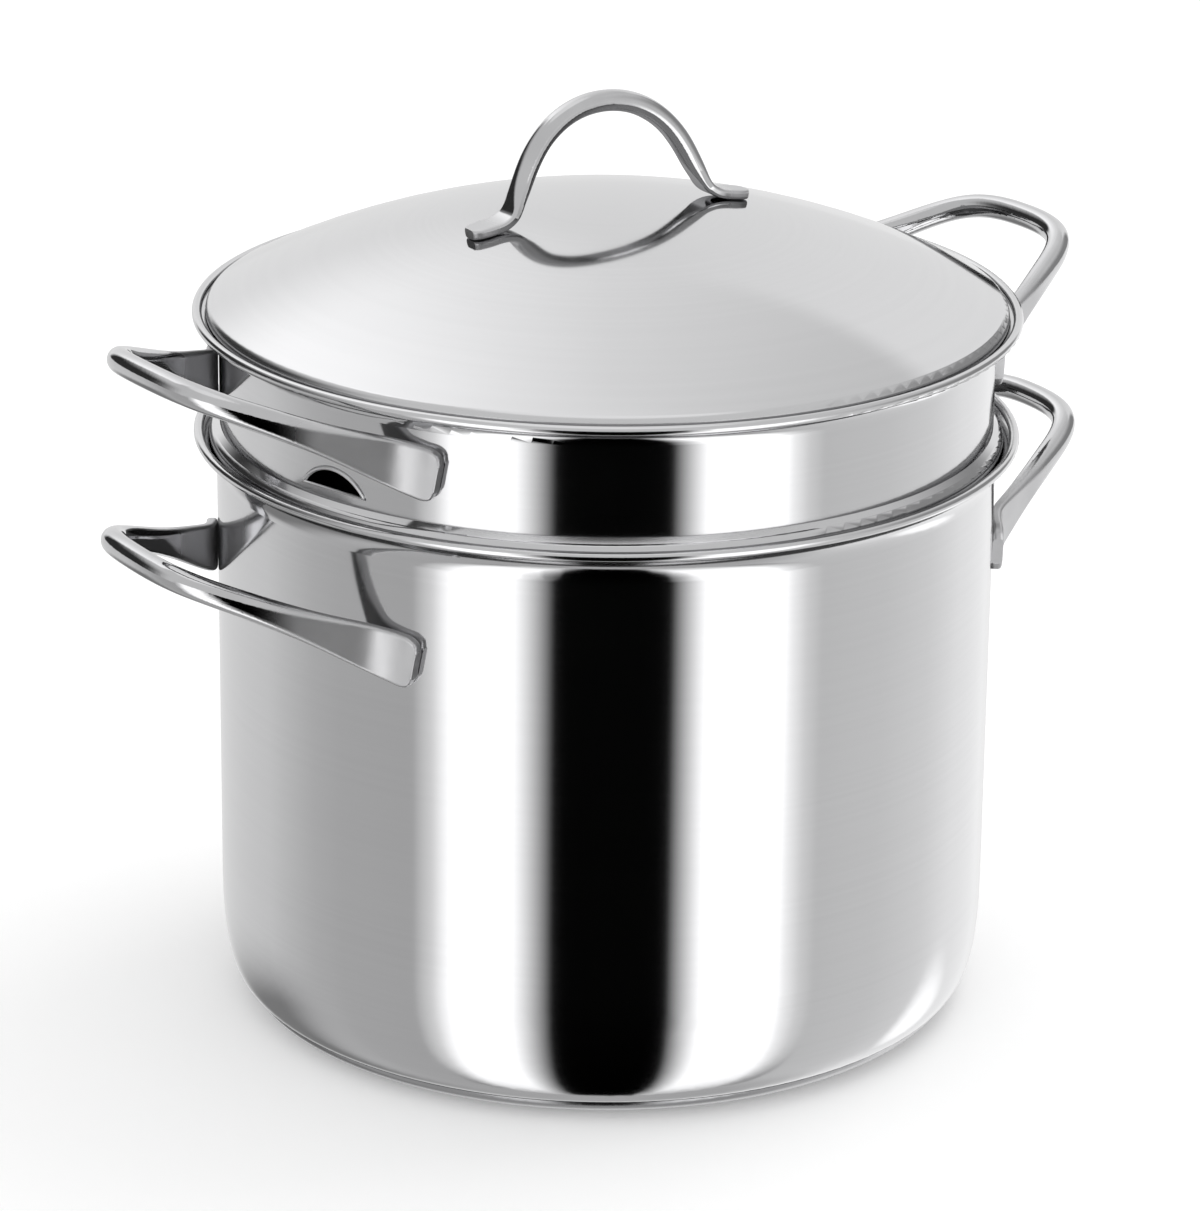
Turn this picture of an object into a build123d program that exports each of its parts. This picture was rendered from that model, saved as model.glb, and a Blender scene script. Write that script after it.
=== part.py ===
"""Pasta pot with a lift-out strainer and a domed lid, in millimetres.

The pot stands on the XY plane with its axis on Z and its side handles on X.
Every vessel is a spun steel shell, and every handle is one rod with its ends pressed flat.
"""

from build123d import *
from math import asin, cos, degrees, radians, sin, sqrt, tan
import os

# Driving dimensions of the pot
pot_radius = 120.0
rim_overhang = 7.0
rim_radius = pot_radius + rim_overhang
pot_rim_height = 182.6
sheet = 1.0
bead_radius = 1.5
flare_radius = 10.5
flare_angle = 70.0

# Base of the pot: a bonded aluminium core inside a thin steel cap
base_height = 5.5
base_inset = 6.8
base_radius = pot_radius - base_inset
foot_inset = 11.2
foot_radius = base_radius - foot_inset
cap_sheet = 0.8
corner_height = 38.0

# Strainer: a plain upper band in line with the pot's inner wall, a rolled shoulder and a perforated basket
strainer_radius = pot_radius - sheet
strainer_stands_out = 37.8
strainer_rim_height = pot_rim_height + strainer_stands_out
ledge_radius = 5.0
shoulder_radius = 3.2
basket_step = 4.0
basket_radius = strainer_radius - basket_step
basket_floor = 28.0
basket_corner = 15.0
seat_gap = 0.3
strainer_turn = 3.2

# Holes in the strainer
hole_diameter = 7.0
wall_rows = 5
holes_per_row = 14
floor_rings = 3
holes_per_ring = 5
vent_width = 25.0
vent_rise = 6.6
vent_clearance = 6.9
vent_sill = pot_rim_height + vent_clearance
vent_angle = 13.1

# Lid: a shallow dome with a rounded edge inside the strainer's bead, and a plug skirt
lid_gap = 1.2
lid_sheet = 0.8
dome_rise = 31.8
edge_radius = 3.0
plug_gap = 1.0
plug_depth = 6.0

# Side handles: reach is from the pot's axis, side is from the handle's own centre line
rod_diameter = 7.5
bow_overhang = 42.5
handle_reach = pot_radius + bow_overhang
handle_tilt = 22.5
pad_length = 12.0
pad_height = 16.0
pad_thickness = 3.4
pad_angle = 29.0
weld_gap = 0.2
leg_overhang = 24.4
leg_end_reach = pot_radius + leg_overhang
leg_end_side = 33.8

# Lid handle: an arch along X that leans back a little
lid_rod_diameter = 6.6
arch_rise = 31.3
arch_half_width = 28.5
arch_shoulder = 12.9
arch_lead = 12.7
arch_crown = 13.0
arch_lean = 8.0
foot_length = 13.6
foot_start = 35.4
foot_width = 9.2
foot_thickness = 3.0

# Rounded end of a pad: share of its length, then of its width
end_shape = ((0.0, 0.55), (0.1, 0.76), (0.3, 0.93), (0.6, 1.0), (1.0, 1.0))
# Bend: shares of the pad and of the leg that it takes up
side_bend, lid_bend = (0.5, 0.14), (0.4, 0.25)
# Stations on the bend: share of its curve, then of the pad's extra width
bend_shape = ((0.3, 0.95), (0.5, 0.88), (0.7, 0.8))
# Leg beyond the bend: share of its length, then of the pad's extra width and of its missing thickness
side_leg = ((0.0, 0.7, 0.97), (0.18, 0.5, 0.88), (0.4, 0.28, 0.65), (0.67, 0.12, 0.3), (1.0, 0.04, 0.05))
lid_leg = ((0.0, 0.5, 0.85), (0.25, 0.2, 0.55), (0.5, 0.06, 0.25), (0.75, 0.0, 0.08), (1.0, 0.0, 0.0))
# Bow: shares of the curve from the leg's end to the middle
bow_shape = (0.25, 0.45, 0.62, 0.78, 1.0)


def cubic(points, share):
    """A point at a share of the way along a cubic curve."""
    rest = 1 - share
    weights = (rest**3, 3 * rest**2 * share, 3 * rest * share**2, share**3)
    return sum((point * weight for point, weight in zip(points, weights)), Vector())


def half_rod(tip, bend, leg_end, bow, pad, rod, turn_shares, leg_shape):
    """Stations from a pad's tip to the middle of the rod: point, width and thickness."""
    width, thickness = pad
    flat_end = bend + (tip - bend) * turn_shares[0]
    leg_start = bend + (leg_end - bend) * turn_shares[1]
    stations = [(tip + (flat_end - tip) * share, width * full, thickness) for share, full in end_shape]
    turn = (flat_end, flat_end + (bend - flat_end) * 0.6, leg_start + (bend - leg_start) * 0.6, leg_start)
    stations += [(cubic(turn, share), rod + (width - rod) * wide, thickness) for share, wide in bend_shape]
    for share, wide, thin in leg_shape:
        size = (rod + (width - rod) * wide, rod + (thickness - rod) * thin)
        stations.append((leg_start + (leg_end - leg_start) * share, *size))
    return stations + [(cubic((leg_end, *bow), share), rod, rod) for share in bow_shape]


def rod_sections(stations, across, rod):
    """The rod's section at each station, square to the route."""
    sections = []
    for index, (point, width, thickness) in enumerate(stations):
        before = stations[max(index - 1, 0)][0]
        after = stations[min(index + 1, len(stations) - 1)][0]
        along = (after - before).normalized()
        corner = thickness * (0.2 + 0.28 * thickness / rod)
        with BuildSketch(Plane(point, x_dir=across.cross(along), z_dir=along)) as section:
            RectangleRounded(thickness, width, min(corner, 0.48 * thickness))
        sections.append(section.sketch)
    return sections


def both_halves(half, flip):
    """Joins a half rod to its mirror image, which the flip function places."""
    return half + [(flip(point), width, thickness) for point, width, thickness in half[-2::-1]]


# Pot body: flat bottom, tight corner, straight wall, bell flare and curled bead
flare_start = pot_rim_height - flare_radius * sin(radians(flare_angle)) + 0.1 * sheet
flare_axis = pot_radius - sheet + flare_radius
with BuildPart() as pot_body:
    with BuildSketch(Plane.XZ):
        with BuildLine():
            bottom = Polyline((0, base_height + sheet), (0, base_height), (base_radius, base_height))
            corner = Bezier(
                bottom @ 1,
                (base_radius + 0.6 * (pot_radius - base_radius), 1.4 * base_height),
                (pot_radius, 0.4 * corner_height),
                (pot_radius, corner_height),
            )
            wall = Line(corner @ 1, (pot_radius, flare_start))
            bell = CenterArc((flare_axis, flare_start), flare_radius - sheet, 180, -flare_angle)
            inner_bell = CenterArc((flare_axis, flare_start), flare_radius, 180, -flare_angle)
            Line(bell @ 1, inner_bell @ 1)
            inner_wall = Line(inner_bell @ 0, (pot_radius - sheet, corner_height))
            inner_corner = Bezier(
                inner_wall @ 1,
                (pot_radius - sheet, 0.42 * corner_height),
                (base_radius + 0.5 * (pot_radius - base_radius), 1.45 * base_height + sheet),
                (base_radius - 2.2 * sheet, base_height + sheet),
            )
            Line(inner_corner @ 1, bottom @ 0)
        make_face()
        with Locations((rim_radius - bead_radius, pot_rim_height)):
            Circle(bead_radius)
    revolve(axis=Axis.Z)

# Steel cap of the base, with a rounded outer edge
cap_bulge = 0.6 * (base_radius - foot_radius)
with BuildPart() as base_cap:
    with BuildSketch(Plane.XZ):
        with BuildLine():
            lip = Line((base_radius - cap_sheet, base_height), (base_radius, base_height))
            edge = Bezier(
                lip @ 1,
                (base_radius - 0.5 * cap_sheet, 0.5 * base_height),
                (foot_radius + cap_bulge, 0),
                (foot_radius, 0),
            )
            foot = Polyline(edge @ 1, (0, 0), (0, cap_sheet), (foot_radius, cap_sheet))
            Bezier(
                foot @ 1,
                (foot_radius + cap_bulge, cap_sheet),
                (base_radius - 1.5 * cap_sheet, 0.55 * base_height),
                lip @ 0,
            )
        make_face()
    revolve(axis=Axis.Z)

# Aluminium core, which fills the cap
with BuildPart() as base_core:
    with BuildSketch(Plane.XZ):
        with BuildLine():
            core = Polyline(lip @ 0, (0, base_height), (0, cap_sheet), (foot_radius, cap_sheet))
            Bezier(
                core @ 1,
                (foot_radius + cap_bulge, cap_sheet),
                (base_radius - 1.5 * cap_sheet, 0.55 * base_height),
                core @ 0,
            )
        make_face()
    revolve(axis=Axis.Z)

# Strainer body: its shoulder roll rests in the pot's bell flare
roll_reach = flare_axis - strainer_radius
seat_radius = flare_radius + shoulder_radius + seat_gap
roll_height = flare_start + sqrt(seat_radius**2 - roll_reach**2)
roll_bottom = roll_height - shoulder_radius
neck_height = roll_bottom - 1.6 * shoulder_radius
neck_pull = neck_height + 0.5 * shoulder_radius
ledge_height = strainer_rim_height - bead_radius
ledge_start = ledge_height - ledge_radius
ledge_axis = strainer_radius + ledge_radius
bead_axis = rim_radius - bead_radius
basket_bend = basket_radius - basket_corner
with BuildPart() as strainer_body:
    with BuildSketch(Plane.XZ):
        with BuildLine():
            floor = Polyline(
                (basket_bend, basket_floor),
                (0, basket_floor),
                (0, basket_floor + sheet),
                (basket_bend, basket_floor + sheet),
            )
            bend = CenterArc((basket_bend, basket_floor + basket_corner), basket_corner, -90, 90)
            inner_bend = CenterArc((basket_bend, basket_floor + basket_corner), basket_corner - sheet, -90, 90)
            wall = Line(bend @ 1, (basket_radius, neck_height))
            neck = Bezier(
                wall @ 1,
                (basket_radius, neck_pull),
                (strainer_radius - shoulder_radius, roll_bottom),
                (strainer_radius, roll_bottom),
            )
            roll = CenterArc((strainer_radius, roll_height), shoulder_radius, -90, 150)
            band_foot = Line(roll @ 1, (strainer_radius, roll_height + 1.3 * shoulder_radius))
            band = Line(band_foot @ 1, (strainer_radius, ledge_start))
            ledge_bend = CenterArc((ledge_axis, ledge_start), ledge_radius, 180, -90)
            ledge = Line(ledge_bend @ 1, (bead_axis, ledge_height))
            inner_ledge_bend = CenterArc((ledge_axis, ledge_start), ledge_radius + sheet, 180, -90)
            inner_ledge = Line(inner_ledge_bend @ 1, (bead_axis, ledge_height + sheet))
            Line(ledge @ 1, inner_ledge @ 1)
            inner_roll = CenterArc((strainer_radius, roll_height), shoulder_radius - sheet, -90, 130)
            inner_band = Line(inner_ledge_bend @ 0, (strainer_radius - sheet, roll_height + 0.9 * shoulder_radius))
            Line(inner_band @ 1, inner_roll @ 1)
            inner_neck = Bezier(
                inner_roll @ 0,
                (strainer_radius - shoulder_radius, roll_bottom + sheet),
                (basket_radius - sheet, neck_pull + 0.5 * sheet),
                (basket_radius - sheet, neck_height),
            )
            Line(inner_neck @ 1, inner_bend @ 1)
        make_face()
        with Locations((bead_axis, strainer_rim_height)):
            Circle(bead_radius)
    revolve(axis=Axis.Z)
    # Rows of holes in the basket's wall, each row turned by half a step
    lowest_row = basket_floor + basket_corner + hole_diameter
    row_step = (neck_height - hole_diameter - lowest_row) / (wall_rows - 1)
    for row in range(wall_rows):
        half_step = 180 / holes_per_row * (row % 2)
        with Locations((0, 0, lowest_row + row * row_step)):
            with PolarLocations(basket_radius - sheet / 2, holes_per_row, start_angle=half_step):
                Cylinder(hole_diameter / 2, 6 * sheet, rotation=(0, 90, 0), mode=Mode.SUBTRACT)
    # Rings of holes in the basket's floor
    ring_step = basket_bend / (floor_rings + 0.4)
    with Locations((0, 0, basket_floor + sheet / 2)):
        Cylinder(hole_diameter / 2, 6 * sheet, mode=Mode.SUBTRACT)
        for ring in range(1, floor_rings + 1):
            with PolarLocations(ring * ring_step, ring * holes_per_ring):
                Cylinder(hole_diameter / 2, 6 * sheet, mode=Mode.SUBTRACT)
    # Two half-moon steam vents, one on each side, just above the shoulder
    for side in (0, 180):
        vent_plane = Plane.YZ.rotated((0, 0, side + strainer_turn + vent_angle))
        with BuildSketch(vent_plane.offset(strainer_radius - 4 * sheet)):
            with BuildLine():
                sill = Line((-vent_width / 2, vent_sill), (vent_width / 2, vent_sill))
                ThreePointArc(sill @ 0, (0, vent_sill + vent_rise), sill @ 1)
            make_face()
        extrude(amount=8 * sheet, mode=Mode.SUBTRACT)

# Lid shell: dome, rounded edge and the plug skirt that centres it in the strainer
lid_radius = rim_radius - 2 * bead_radius - lid_gap
plug_radius = strainer_radius - sheet - plug_gap
lid_seat = ledge_height + sheet + seat_gap
edge_reach = lid_radius - edge_radius
edge_height = lid_seat + lid_sheet
edge_rise = dome_rise - edge_radius
dome_radius = (edge_reach**2 + edge_rise**2) / (2 * edge_rise) + edge_radius
edge_slope = degrees(asin(edge_reach / (dome_radius - edge_radius)))
dome_top = edge_height + dome_rise
dome_centre = dome_top - dome_radius
with BuildPart() as lid_dome:
    with BuildSketch(Plane.XZ):
        with BuildLine():
            dome = CenterArc((0, dome_centre), dome_radius, 90, -edge_slope)
            edge = CenterArc((edge_reach, edge_height), edge_radius, 90 - edge_slope, edge_slope - 90)
            plug = Polyline(
                edge @ 1,
                (lid_radius, lid_seat),
                (plug_radius, lid_seat),
                (plug_radius, lid_seat - plug_depth),
                (plug_radius - lid_sheet, lid_seat - plug_depth),
                (plug_radius - lid_sheet, lid_seat + lid_sheet),
                (lid_radius - lid_sheet, edge_height),
            )
            CenterArc((edge_reach, edge_height), edge_radius - lid_sheet, 90 - edge_slope, edge_slope - 90)
            under = CenterArc((0, dome_centre), dome_radius - lid_sheet, 90, -edge_slope)
            Line(dome @ 0, under @ 0)
        make_face()
    revolve(axis=Axis.Z)


def side_handle(wall_radius, height, turn):
    """Stations of a side handle whose pads lie on a wall, turned about the pot's axis."""

    def place(reach, side):
        rise = (reach - wall_radius) * tan(radians(handle_tilt))
        return Vector(reach, side, height + rise).rotate(Axis.Z, turn)

    pad_reach = wall_radius + pad_thickness / 2 + weld_gap
    angle = radians(pad_angle)
    half_pad = pad_length / 2
    tip, bend = (
        place(pad_reach * cos(angle) + step * sin(angle), pad_reach * sin(angle) - step * cos(angle))
        for step in (-half_pad, half_pad)
    )
    leg_end = place(leg_end_reach, leg_end_side)
    lead = (leg_end - bend).normalized() * (0.1 * handle_reach)
    bow = (leg_end + lead, place(handle_reach, 0.64 * leg_end_side), place(handle_reach, 0))
    pad = (pad_height, pad_thickness)
    half = half_rod(tip, bend, leg_end, bow, pad, rod_diameter, side_bend, side_leg)
    mirror_plane = Plane(Vector(), x_dir=(0, 0, 1), z_dir=Vector(0, 1, 0).rotate(Axis.Z, turn))
    return both_halves(half, lambda point: point - mirror_plane.z_dir * (2 * point.dot(mirror_plane.z_dir)))


os.makedirs("parts", exist_ok=True)

# Side handles: two on the pot, low on its wall, and two on the strainer, close under its ledge
pot_handle_height = flare_start - 1.46 * pad_height
strainer_handle_height = ledge_start - 0.4 * pad_height
for owner, wall_radius, height, turn in (
    ("pot", pot_radius, pot_handle_height, 0),
    ("strainer", strainer_radius, strainer_handle_height, strainer_turn),
):
    for side, half_turn in (("right", 0), ("left", 180)):
        stations = side_handle(wall_radius, height, turn + half_turn)
        with BuildPart() as handle:
            loft(rod_sections(stations, Vector(0, 0, 1), rod_diameter))
        handle.part.label = f"{owner}_handle_{side}"
        export_step(handle.part, f"parts/{handle.part.label}.step")

# Lid handle: its feet lie on the dome
foot_slope = asin((foot_start + foot_length / 2) / dome_radius)


def on_dome(reach):
    """A point of a foot's middle line, on a straight line that touches the dome at half the foot."""
    lift = dome_radius + foot_thickness / 2 + weld_gap
    middle = Vector(lift * sin(foot_slope), 0, dome_centre + lift * cos(foot_slope))
    step = (reach - middle.X) / cos(foot_slope)
    return middle + Vector(cos(foot_slope), 0, -sin(foot_slope)) * step


def lean_back(reach, height):
    """A point of the arch, which leans back about the line through its two bends."""
    return Vector(reach, (height - on_dome(foot_start).Z) * tan(radians(arch_lean)), height)


with BuildPart() as lid_handle:
    tip = on_dome(foot_start + foot_length)
    bend = on_dome(foot_start)
    leg_end = lean_back(arch_half_width, dome_top + arch_shoulder)
    crown = lean_back(0, dome_top + arch_rise)
    lead = (leg_end - bend).normalized() * arch_lead
    bow = (leg_end + lead, crown + Vector(arch_crown, 0, 0), crown)
    foot = (foot_width, foot_thickness)
    half = half_rod(tip, bend, leg_end, bow, foot, lid_rod_diameter, lid_bend, lid_leg)
    arch = both_halves(half, lambda point: Vector(-point.X, point.Y, point.Z))
    loft(rod_sections(arch, Vector(0, 1, 0), lid_rod_diameter))

for part, label in (
    (pot_body, "pot_body"),
    (base_cap, "base_cap"),
    (base_core, "base_core"),
    (strainer_body, "strainer_body"),
    (lid_dome, "lid_dome"),
    (lid_handle, "lid_handle"),
):
    part.part.label = label
    export_step(part.part, f"parts/{label}.step")
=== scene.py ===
"""Looks for the pasta pot with its strainer and lid: steel finishes, studio light and camera.

Sizes are in metres and angles in degrees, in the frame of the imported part: the pot's axis is Z and its
handles lie on X. A brightness of 1 is white.
"""

import bpy
from math import asin, cos, pi, radians, sin
from mathutils import Matrix, Vector


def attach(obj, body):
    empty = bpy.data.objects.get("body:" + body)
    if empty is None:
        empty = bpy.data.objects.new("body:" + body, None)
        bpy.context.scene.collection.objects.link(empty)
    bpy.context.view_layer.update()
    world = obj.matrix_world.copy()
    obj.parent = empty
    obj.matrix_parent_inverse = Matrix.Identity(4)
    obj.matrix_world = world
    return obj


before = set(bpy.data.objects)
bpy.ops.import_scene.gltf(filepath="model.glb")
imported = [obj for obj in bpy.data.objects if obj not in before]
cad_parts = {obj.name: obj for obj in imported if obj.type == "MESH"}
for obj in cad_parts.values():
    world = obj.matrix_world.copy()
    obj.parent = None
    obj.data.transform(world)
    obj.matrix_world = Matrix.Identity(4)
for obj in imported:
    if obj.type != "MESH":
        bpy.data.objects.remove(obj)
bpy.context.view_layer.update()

# Photograph's frame, in pixels
image_width = 1200
image_height = 1211

# Camera: the side it stands on, from -Y round towards -X, its distance from the axis and its height,
# then how it is tilted, and how far it looks past the axis
camera_side = 31.6
camera_distance = 1.555
camera_height = 0.677
camera_pitch = 19.6
camera_roll = 0.64
camera_aim = -0.05
focal_pixels = 5287.0
sensor_width = 36.0

# Places on the part where a finish changes: the radii at which the shells' rims and the lid's edge start,
# with one beyond all for pieces without a rim, and how far out the satin of the side handles' ends and of
# the lid handle's feet starts
rim_start = 0.1215
lid_edge_start = 0.1205
rim_blend = 0.0015
beyond_all = 0.2
pad_satin_start = 0.037
foot_satin_start = 0.037
satin_blend = 0.008
strainer_turn = 3.2

# Vents' rims: half-moons on the strainer's wall, the right one at this angle from X, the left opposite
vent_angle = 16.3
vent_reach = 0.119
vent_sill = 0.1895
vent_width = 0.025
vent_rise = 0.0066
vent_lip = 0.0007
vent_steps = 32

# All steel: its touch of blue, the noise that turns it from its darker to its lighter grey, and how deep
# the grain is
steel_blue = 0.01
shade_range = (0.3, 0.7)
grain_depth = 0.0001

# Spun steel: how much faster its brushing changes along the profile than round the axis, and the scale
# and detail of its noises
ring_stretch = 160.0
fine_noise = (26.0, 3.0)
streak_noise = (5.0, 2.0)
smudge_noise = (14.0, 3.0)
# Darkest and lightest share of its grey, how far the noises move its roughness, the height of its bump,
# and the share of a turn that lays its highlights across the rings
spun_shades = (0.985, 1.01)
fine_roughness = 0.04
smudge_roughness = 0.03
ring_bump = 0.015
ring_direction = 0.25

# Rod steel: greys of the handles and of the vents' rims, its noises and shades, the roughness of its
# polished part, and what satin adds
rod_level = 0.72
vent_level = 0.9
rod_smudge_noise = (60.0, 3.0)
rod_line_noise = (900.0, 2.0)
rod_shades = (0.94, 1.03)
rod_roughness = 0.045
rod_smudge_roughness = 0.05
satin_roughness = 0.35
satin_bump = 0.04

# Studio: the floor, the backdrop that the camera sees, and the even light that matt surfaces get
floor_half = 12.0
floor_white = 0.96
floor_glow = 0.13
backdrop_white = 1.0
room_light = 0.96

# Key lamp, as the camera sees it: right, away and up
key_power = 4.5
key_size = 0.9
key_place = (0.7, 0.5, 1.3)
key_target = (0, 0, 0.1)

# What the steel reflects is told in directions of length 1 as the camera sees them: X right, Y away and
# Z up. A pair of values is where one brightness starts to give way to another, and where it ends.
horizon = (-0.06, 0.0)

# Table, below the horizon: brightness at each angle round the pot, from the camera towards the right
table = (
    (-180, 0.80),
    (-118, 0.67),
    (-95, 0.50),
    (-84, 0.46),
    (-57, 0.44),
    (0, 0.50),
    (66, 0.61),
    (90, 0.66),
    (111, 0.76),
    (129, 0.91),
    (156, 1.0),
    (180, 0.80),
)
# Almost straight down
under_pot = 0.45
under_pot_drop = (-0.97, -0.78)
# Shadow on the far left of the table
far_shadow = 0.22
far_shadow_side = (-0.4, -0.1)
far_shadow_away = (0.0, 0.5)
far_shadow_drop = (-0.55, -0.38)
# Bright patch on the table, to the right: the middle of it, and how far it spreads
patch_level = 1.35
patch_side, patch_dip = 125.0, 35.0
patch_core, patch_edge = 3.0, 12.0

# Wall and ceiling behind the pot: brightness from left to right, low down and high up
low_ceiling = ((-0.6, 0.90), (0.0, 0.78), (0.6, 0.88))
high_ceiling = ((-0.6, 1.40), (-0.30, 1.08), (-0.15, 0.94), (0.0, 0.82), (0.30, 0.68), (0.6, 0.58))
ceiling_away = (0.12, 0.28)
ceiling_sides = (0.45, 0.60)
# Heights between which low gives way to high, left and right of the middle
step_left = (0.2, 0.6)
step_right = (0.6, 0.68)
step_middle = (-0.15, 0.1)

# Rest of the room: grey in front and high up, dark low down at the sides, and light overhead
front_room = 0.64
dark_left, dark_right = 0.03, 0.28
dark_middle = (0.0, 0.4)
dark_away = (-0.5, 0.25)
dark_rise = (0.35, 0.75)
overhead = 0.90
overhead_rise = (0.92, 0.97)

# Share of the light that a second reflection keeps, level or downward and upward
second_bounce = 0.08
upward_bounce = 0.40
bounce_rise = (0.0, 0.35)

# Screen towards the camera: brightness across it, two soft panels with a black gap between them.
# Downward it fades.
panel_white = 1.45
screen_distance = 0.60
screen_top = 0.30
screen_bottom = -2.2
screen_fade = 0.5
fade_start, fade_end = -0.6, -1.7
screen = (
    (-0.82, 0.48),
    (-0.66, 0.80),
    (-0.53, panel_white),
    (-0.27, panel_white),
    (-0.138, 0.0),
    (0.19, 0.0),
    (0.31, panel_white),
    (0.73, panel_white),
    (0.80, 1.10),
    (0.97, 0.77),
    (1.22, 0.61),
)


class Graph:
    """The node graph of one material or of the world."""

    def __init__(self, owner):
        owner.use_nodes = True
        self.tree = owner.node_tree
        self.tree.nodes.clear()

    def fill(self, socket, value):
        """Sets an input to a value, or links it to another node's socket."""
        if isinstance(value, bpy.types.NodeSocket):
            self.tree.links.new(value, socket)
        else:
            socket.default_value = value

    def add(self, kind, inputs=None, **settings):
        """Adds a node; inputs are values or other nodes' sockets, by name or index."""
        made = self.tree.nodes.new(kind)
        for name, value in settings.items():
            setattr(made, name, value)
        for key, value in (inputs or {}).items():
            self.fill(made.inputs[key], value)
        return made

    def math(self, operation, *values):
        """Result of a Math node."""
        return self.add("ShaderNodeMath", dict(enumerate(values)), operation=operation).outputs[0]

    def plus(self, first, second):
        """Sum of two values."""
        return self.math("ADD", first, second)

    def times(self, first, second):
        """Product of two values."""
        return self.math("MULTIPLY", first, second)

    def blend(self, value, low, high, at_low=0.0, at_high=1.0):
        """Smooth change from one result at a low value to another at a high one, held beyond them."""
        inputs = {"Value": value, "From Min": low, "From Max": high, "To Min": at_low, "To Max": at_high}
        return self.add("ShaderNodeMapRange", inputs, interpolation_type="SMOOTHSTEP").outputs[0]

    def noise(self, vector, scale, detail):
        """Noise from 0 to 1 at a scale per metre."""
        inputs = {"Vector": vector, "Scale": scale, "Detail": detail}
        return self.add("ShaderNodeTexNoise", inputs).outputs[0]

    def vary(self, level, noise, amount):
        """A level that noise moves up and down."""
        return self.plus(level, self.times(self.math("SUBTRACT", noise, 0.5), amount))

    def mix(self, factor, first, second):
        """Colour between two colours or sockets."""
        made = self.add("ShaderNodeMix", data_type="RGBA")
        for socket, value in zip((made.inputs[0], made.inputs[6], made.inputs[7]), (factor, first, second)):
            self.fill(socket, value)
        return made.outputs[2]

    def place(self):
        """The point's place on the object."""
        return self.add("ShaderNodeTexCoord").outputs["Object"]

    def turn(self, vector, angle):
        """A vector turned about Z."""
        inputs = {"Vector": vector, "Angle": radians(angle)}
        return self.add("ShaderNodeVectorRotate", inputs, rotation_type="Z_AXIS").outputs[0]

    def split(self, vector):
        """A vector's X, Y and Z."""
        return self.add("ShaderNodeSeparateXYZ", {0: vector}).outputs

    def levels(self, value, stops):
        """Brightness that follows a list of (value, level) stops."""
        start, end = stops[0][0], stops[-1][0]
        share = self.math("DIVIDE", self.math("SUBTRACT", value, start), end - start)
        ramp = self.add("ShaderNodeValToRGB", {"Fac": share})
        elements = ramp.color_ramp.elements
        elements.remove(elements[0])
        for index, (spot, level) in enumerate(stops):
            position = (spot - start) / (end - start)
            element = elements[0] if index == 0 else elements.new(position)
            element.position = position
            element.color = grey(level)
        return ramp.outputs[0]


def grey(level, blue=0.0):
    """An RGBA grey, with a touch of blue if that is given."""
    return (level, level, level + blue, 1.0)


def add_object(name, data):
    """A new object in the scene."""
    made = bpy.data.objects.new(name, data)
    bpy.context.collection.objects.link(made)
    return made


def add_sheet(name, corners, material):
    """A flat object with four corners and one material."""
    mesh = bpy.data.meshes.new(name)
    mesh.from_pydata(corners, [], [(0, 1, 2, 3)])
    mesh.materials.append(material)
    return add_object(name, mesh)


def finish_steel(graph, level, shades, shade, grain, bump, inputs):
    """Ends a steel's graph: metal between two shades of a grey, with its grain as a slight bump."""
    dark, light = (grey(level * share, steel_blue) for share in shades)
    relief = graph.add("ShaderNodeBump", {"Strength": bump, "Distance": grain_depth, "Height": grain})
    metal = {
        "Base Color": graph.mix(graph.blend(shade, *shade_range), dark, light),
        "Metallic": 1.0,
        "Normal": relief.outputs[0],
    }
    shader = graph.add("ShaderNodeBsdfPrincipled", metal | inputs)
    graph.add("ShaderNodeOutputMaterial", {"Surface": shader.outputs[0]})


def spun_steel(name, level, roughness, stretch, rim_from=beyond_all, rim_roughness=0.0):
    """Steel with fine rings of brushing round the axis, and an unbrushed rim beyond a radius.

    The rings stretch its highlights; the rim has a roughness of its own.
    """
    material = bpy.data.materials.new(name)
    graph = Graph(material)
    vector = graph.place()
    x, y, z = graph.split(vector)
    radius = graph.math("SQRT", graph.plus(graph.times(x, x), graph.times(y, y)))
    # Brushing: noise that changes quickly along the profile and slowly round the axis
    profile = graph.times(graph.plus(z, radius), ring_stretch)
    rings = graph.add("ShaderNodeCombineXYZ", {0: x, 1: y, 2: profile}).outputs[0]
    fine = graph.noise(rings, *fine_noise)
    streaks = graph.noise(rings, *streak_noise)
    smudges = graph.noise(vector, *smudge_noise)
    rim = graph.blend(radius, rim_from, rim_from + rim_blend)
    brushed = graph.math("SUBTRACT", 1.0, rim)
    rough = graph.vary(graph.vary(roughness, fine, fine_roughness), smudges, smudge_roughness)
    inputs = {
        "Roughness": graph.plus(graph.times(rough, brushed), graph.times(rim, rim_roughness)),
        "Anisotropic": stretch,
        "Anisotropic Rotation": ring_direction,
        "Tangent": graph.add("ShaderNodeTangent", direction_type="RADIAL", axis="Z").outputs[0],
    }
    shade = graph.plus(graph.times(streaks, 0.5), graph.times(smudges, 0.5))
    finish_steel(graph, level, spun_shades, shade, fine, graph.times(brushed, ring_bump), inputs)
    return material


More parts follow.
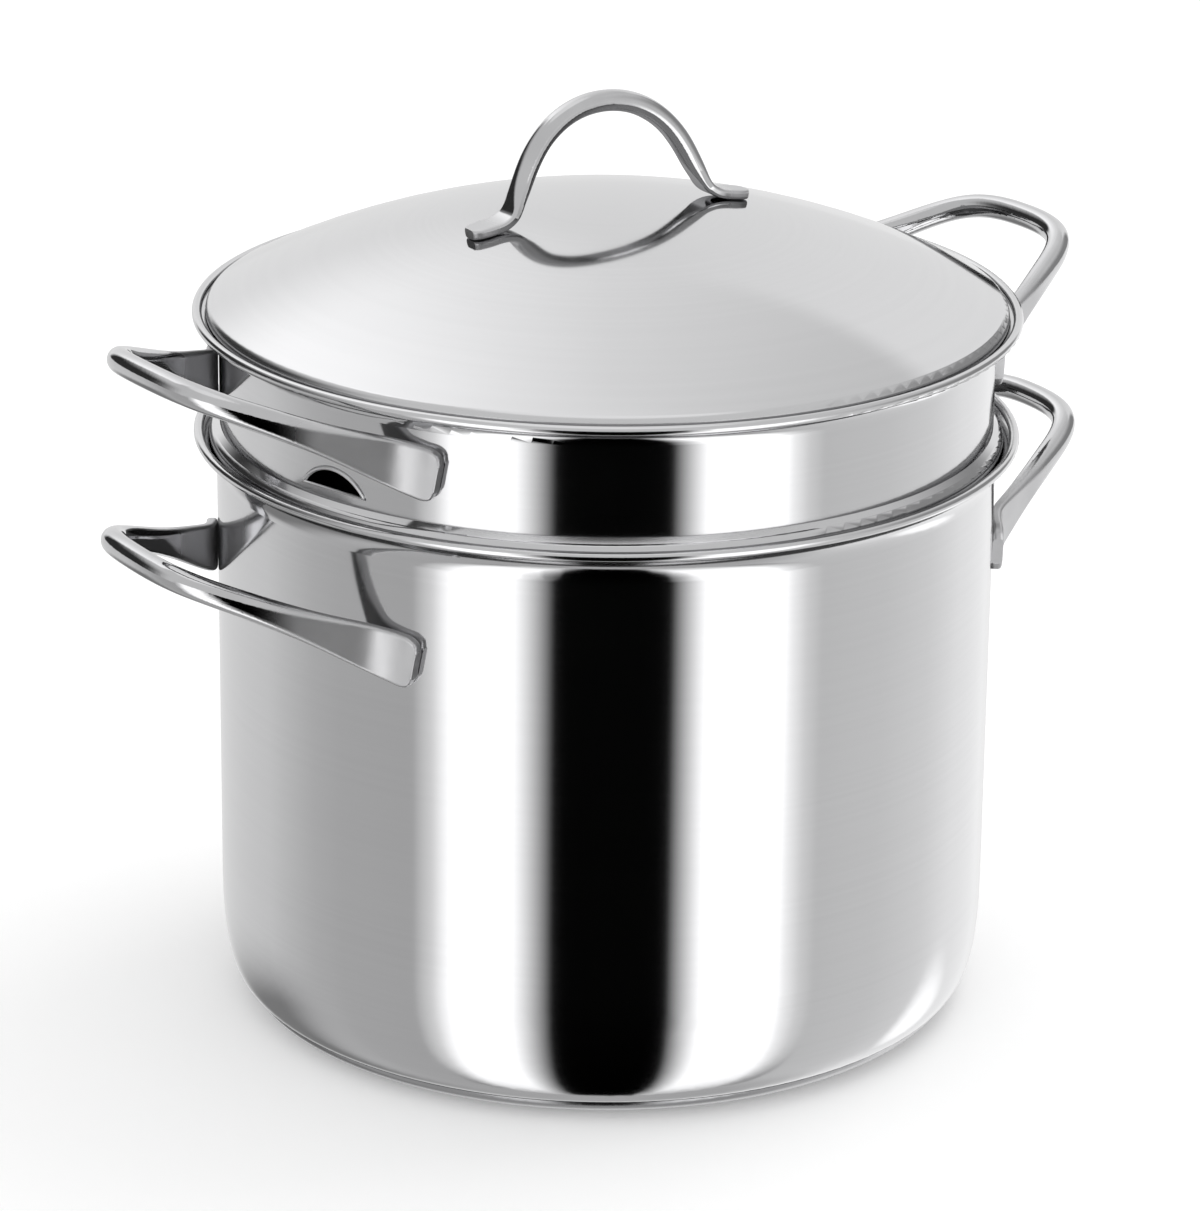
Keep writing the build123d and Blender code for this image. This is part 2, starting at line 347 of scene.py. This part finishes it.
def rod_steel(name, level, axis, satin_from, turn=0.0):
    """Polished rod whose ends, beyond a distance along an axis, are satin; the axis may be turned."""
    material = bpy.data.materials.new(name)
    graph = Graph(material)
    vector = graph.turn(graph.place(), -turn)
    along = graph.math("ABSOLUTE", graph.split(vector)[axis])
    satin = graph.blend(along, satin_from, satin_from + satin_blend)
    smudges = graph.noise(vector, *rod_smudge_noise)
    lines = graph.noise(vector, *rod_line_noise)
    rough = graph.plus(rod_roughness, graph.times(smudges, rod_smudge_roughness))
    inputs = {"Roughness": graph.plus(rough, graph.times(satin, satin_roughness))}
    finish_steel(graph, level, rod_shades, smudges, lines, graph.times(satin, satin_bump), inputs)
    return material


def dress(node, material):
    """Gives a CAD node its material."""
    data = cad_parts[node].data
    data.materials.clear()
    data.materials.append(material)


# Steel of each piece
shell = {"level": 0.77, "roughness": 0.10, "stretch": 0.6, "rim_from": rim_start, "rim_roughness": 0.13}
lid = {"level": 0.79, "roughness": 0.075, "stretch": 0.3, "rim_from": lid_edge_start, "rim_roughness": 0.20}
dress("pot_body", spun_steel("pot_shell", **shell))
dress("strainer_body", spun_steel("strainer_shell", **shell))
dress("lid_dome", spun_steel("lid_shell", **lid))
# The base's grey is set well below the shells' to paint the shade of the dark contact line along the pot's
# foot
dress("base_cap", spun_steel("base_painted_shade", level=0.50, roughness=0.20, stretch=0.5))
dress("base_core", spun_steel("core_metal", level=0.82, roughness=0.35, stretch=0.3))
for side in ("left", "right"):
    for vessel, turn in (("pot", 0.0), ("strainer", strainer_turn)):
        handle = f"{vessel}_handle_{side}"
        dress(handle, rod_steel(f"{handle}_steel", rod_level, "Y", pad_satin_start, turn))
dress("lid_handle", rod_steel("lid_handle_steel", rod_level, "X", foot_satin_start))


def make_vent_rim(side, turn, steel):
    """A fine raised rim that follows the half-moon edge of a vent on the strainer's wall."""
    # The edge is an arc of a circle on the unrolled wall, closed by the straight sill
    radius = (vent_width**2 / 4 + vent_rise**2) / (2 * vent_rise)
    half_angle = asin(vent_width / 2 / radius)
    curve = bpy.data.curves.new(f"vent_rim_{side}", "CURVE")
    curve.dimensions = "3D"
    curve.bevel_depth = vent_lip
    spline = curve.splines.new("POLY")
    spline.points.add(vent_steps)
    for index, point in enumerate(spline.points):
        angle = half_angle * (2 * index / vent_steps - 1)
        height = vent_sill + vent_rise - radius * (1 - cos(angle))
        around = radians(turn) + radius * sin(angle) / vent_reach
        point.co = (vent_reach * cos(around), vent_reach * sin(around), height, 1)
    spline.use_cyclic_u = True
    rim = add_object(f"vent_rim_{side}", curve)
    curve.materials.append(steel)
    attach(rim, "strainer")


# The vents' rims are satin all round, so theirs starts at the axis
rim_steel = rod_steel("vent_rim_steel", vent_level, "Y", satin_from=0.0)
make_vent_rim("right", vent_angle, rim_steel)
make_vent_rim("left", vent_angle + 180, rim_steel)


def make_floor():
    """A wide pale floor that takes the pot's soft shadow, and that the steel's gloss doesn't see."""
    material = bpy.data.materials.new("floor_white")
    graph = Graph(material)
    shader = graph.add("ShaderNodeBsdfDiffuse", {"Color": grey(floor_white)})
    seen = graph.add("ShaderNodeLightPath").outputs["Is Camera Ray"]
    glow = graph.add("ShaderNodeEmission", {"Strength": graph.times(seen, floor_glow)})
    total = graph.add("ShaderNodeAddShader", {0: shader.outputs[0], 1: glow.outputs[0]})
    graph.add("ShaderNodeOutputMaterial", {"Surface": total.outputs[0]})
    half = floor_half
    corners = [(-half, -half, 0), (half, -half, 0), (half, half, 0), (-half, half, 0)]
    floor = add_sheet("floor", corners, material)
    floor.visible_glossy = False


def table_below(graph, vector, x, y, z):
    """The pale table below the horizon, with darker places and a bright patch."""
    around = graph.math("ARCTAN2", x, graph.times(y, -1.0))
    light = graph.levels(graph.times(around, 180 / pi), table)
    light = graph.mix(graph.blend(z, *under_pot_drop, 1.0, 0.0), light, grey(under_pot))
    far_left = graph.times(graph.blend(y, *far_shadow_away), graph.blend(x, *far_shadow_side, 1.0, 0.0))
    far_left = graph.times(far_left, graph.blend(z, *far_shadow_drop, 1.0, 0.0))
    light = graph.mix(far_left, light, grey(far_shadow))
    side, dip = radians(patch_side), radians(patch_dip)
    middle = (sin(side) * cos(dip), -cos(side) * cos(dip), -sin(dip))
    nearness = graph.add("ShaderNodeVectorMath", {0: vector, 1: middle}, operation="DOT_PRODUCT")
    edge, core = cos(radians(patch_edge)), cos(radians(patch_core))
    return graph.mix(graph.blend(nearness.outputs["Value"], edge, core), light, grey(patch_level))


def room_above(graph, x, y, z):
    """The room above the horizon: a lit wall and ceiling behind, dark low sides and a grey front."""
    step_start = graph.blend(x, *step_middle, step_left[0], step_right[0])
    step_end = graph.blend(x, *step_middle, step_left[1], step_right[1])
    height = graph.blend(z, step_start, step_end)
    ceiling = graph.mix(height, graph.levels(x, low_ceiling), graph.levels(x, high_ceiling))
    central = graph.blend(graph.math("ABSOLUTE", x), *ceiling_sides, 1.0, 0.0)
    behind = graph.times(graph.blend(y, *ceiling_away), central)
    low_side = graph.times(graph.blend(y, *dark_away), graph.blend(z, *dark_rise, 1.0, 0.0))
    dark = graph.blend(x, *dark_middle, dark_left, dark_right)
    light = graph.mix(behind, graph.mix(low_side, grey(front_room), dark), ceiling)
    return graph.mix(graph.blend(z, *overhead_rise), light, grey(overhead))


def make_world():
    """The studio round the pot: a room for the gloss, even light for the rest, white for the camera."""
    world = bpy.data.worlds.new("studio")
    bpy.context.scene.world = world
    graph = Graph(world)
    vector = graph.turn(graph.add("ShaderNodeTexCoord").outputs["Generated"], camera_side)
    x, y, z = graph.split(vector)
    below, above = table_below(graph, vector, x, y, z), room_above(graph, x, y, z)
    gloss = graph.mix(graph.blend(z, *horizon), below, above)
    # A depth above 1.5 is a second reflection or a later one, which is dimmed
    paths = graph.add("ShaderNodeLightPath").outputs
    again = graph.math("GREATER_THAN", paths["Glossy Depth"], 1.5)
    dimming = graph.blend(z, *bounce_rise, 1 - second_bounce, 1 - upward_bounce)
    gloss = graph.mix(graph.times(again, dimming), gloss, grey(0.0))
    light = graph.mix(paths["Is Glossy Ray"], grey(room_light), gloss)
    light = graph.mix(paths["Is Camera Ray"], light, grey(backdrop_white))
    background = graph.add("ShaderNodeBackground", {"Color": light, "Strength": 1.0})
    graph.add("ShaderNodeOutputWorld", {"Surface": background.outputs[0]})


def make_screen():
    """The soft panels and the black gap between them, which only the steel's gloss sees."""
    material = bpy.data.materials.new("screen_light")
    graph = Graph(material)
    across, _, height = graph.split(graph.place())
    strength = graph.blend(height, fade_end, fade_start, screen_fade, 1.0)
    light = graph.add("ShaderNodeEmission", {"Color": graph.levels(across, screen), "Strength": strength})
    graph.add("ShaderNodeOutputMaterial", {"Surface": light.outputs[0]})
    left, right, bottom, top = screen[0][0], screen[-1][0], screen_bottom, screen_top
    corners = [(left, 0, bottom), (right, 0, bottom), (right, 0, top), (left, 0, top)]
    panel = add_sheet("screen", corners, material)
    turn = Matrix.Rotation(-radians(camera_side), 4, "Z")
    panel.matrix_world = turn @ Matrix.Translation((0, -screen_distance, 0))
    panel.visible_camera = False
    panel.visible_diffuse = False
    panel.visible_shadow = False
    panel.visible_transmission = False


def make_key_light():
    """A large soft lamp behind the pot on the right, which throws the shadow to the front left."""
    lamp = bpy.data.lights.new("key", "AREA")
    lamp.shape = "SQUARE"
    lamp.size = key_size
    lamp.energy = key_power
    light = add_object("key", lamp)
    light.location = Matrix.Rotation(-radians(camera_side), 3, "Z") @ Vector(key_place)
    light.rotation_euler = (Vector(key_target) - light.location).to_track_quat("-Z", "Y").to_euler()
    light.visible_glossy = False


def make_camera():
    """The photograph's camera, in the part's frame."""
    data = bpy.data.cameras.new("camera")
    data.sensor_width = sensor_width
    data.lens = sensor_width * focal_pixels / max(image_width, image_height)
    camera = add_object("camera", data)
    turn, heading = radians(camera_side), radians(camera_side + camera_aim)
    pitch, roll = radians(camera_pitch), radians(camera_roll)
    ahead = Vector((sin(heading) * cos(pitch), cos(heading) * cos(pitch), -sin(pitch)))
    level = Vector((cos(heading), -sin(heading), 0))
    upward = level.cross(ahead)
    right = level * cos(roll) + upward * sin(roll)
    upward = upward * cos(roll) - level * sin(roll)
    camera.matrix_world = Matrix((right, upward, -ahead)).transposed().to_4x4()
    camera.location = (-camera_distance * sin(turn), -camera_distance * cos(turn), camera_height)
    bpy.context.scene.camera = camera


make_floor()
make_world()
make_screen()
make_key_light()
make_camera()
bpy.context.scene.view_settings.view_transform = "Standard"
